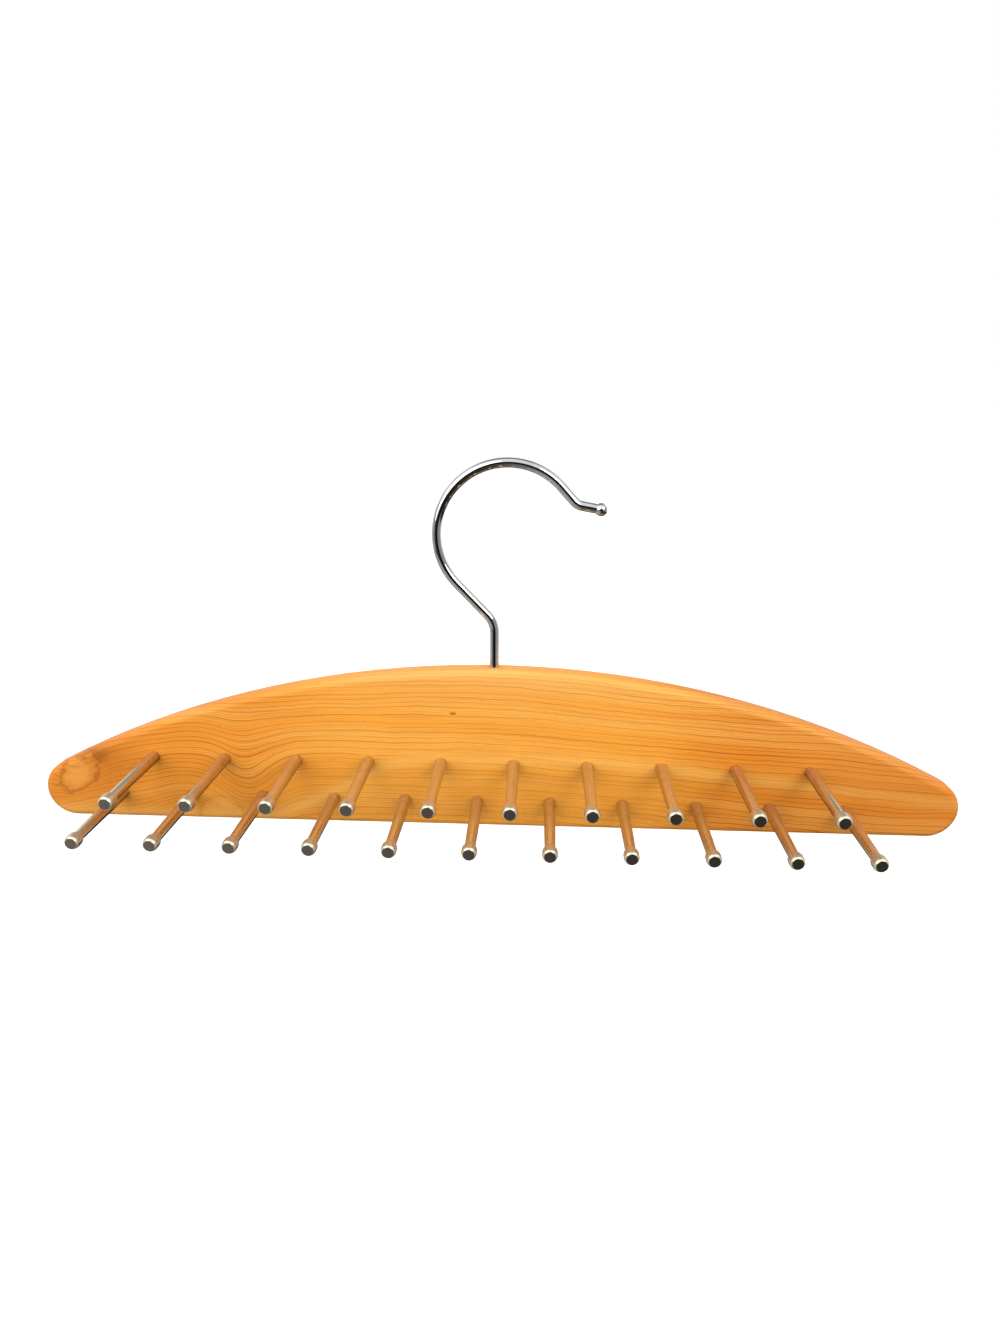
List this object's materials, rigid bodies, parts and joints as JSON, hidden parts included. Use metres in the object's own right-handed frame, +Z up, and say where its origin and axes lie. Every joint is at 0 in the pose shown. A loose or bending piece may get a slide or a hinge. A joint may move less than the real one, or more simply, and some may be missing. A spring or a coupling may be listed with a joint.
{
  "type": "tie hanger",
  "caption": "Arched wooden hanger board with a turning metal wire hook and two staggered rows of ball-headed metal pegs for hanging ties.",
  "frame": {"origin": "seat on the rail: the highest point of the hook's inner curve, at the middle of the wire", "axes": "+X along the board, towards the side where the hook opens; +Y towards the board's plain back, away from the pegs; +Z up"},
  "size_m": [0.406, 0.061, 0.1614],
  "materials": {
    "board_wood": "straight-grained golden softwood under clear satin lacquer",
    "hook_chrome": "bright chrome plated steel wire",
    "peg_nickel": "polished nickel plated steel"
  },
  "bodies": {
    "hook": {"hook": "hook_chrome"},
    "rack": {"board": "board_wood", "peg_upper_1": "peg_nickel", "peg_upper_2": "peg_nickel", "peg_upper_3": "peg_nickel", "peg_upper_4": "peg_nickel", "peg_upper_5": "peg_nickel", "peg_upper_6": "peg_nickel", "peg_upper_7": "peg_nickel", "peg_upper_8": "peg_nickel", "peg_upper_9": "peg_nickel", "peg_upper_10": "peg_nickel", "peg_lower_1": "peg_nickel", "peg_lower_2": "peg_nickel", "peg_lower_3": "peg_nickel", "peg_lower_4": "peg_nickel", "peg_lower_5": "peg_nickel", "peg_lower_6": "peg_nickel", "peg_lower_7": "peg_nickel", "peg_lower_8": "peg_nickel", "peg_lower_9": "peg_nickel", "peg_lower_10": "peg_nickel", "peg_lower_11": "peg_nickel"}
  },
  "joints": [
    {"name": "hook_swivel", "type": "hinge", "parent": "hook", "child": "rack", "pos_m": [-0.00531, 0, -0.08437], "axis": [0, 0, 1], "continuous": true}
  ]
}
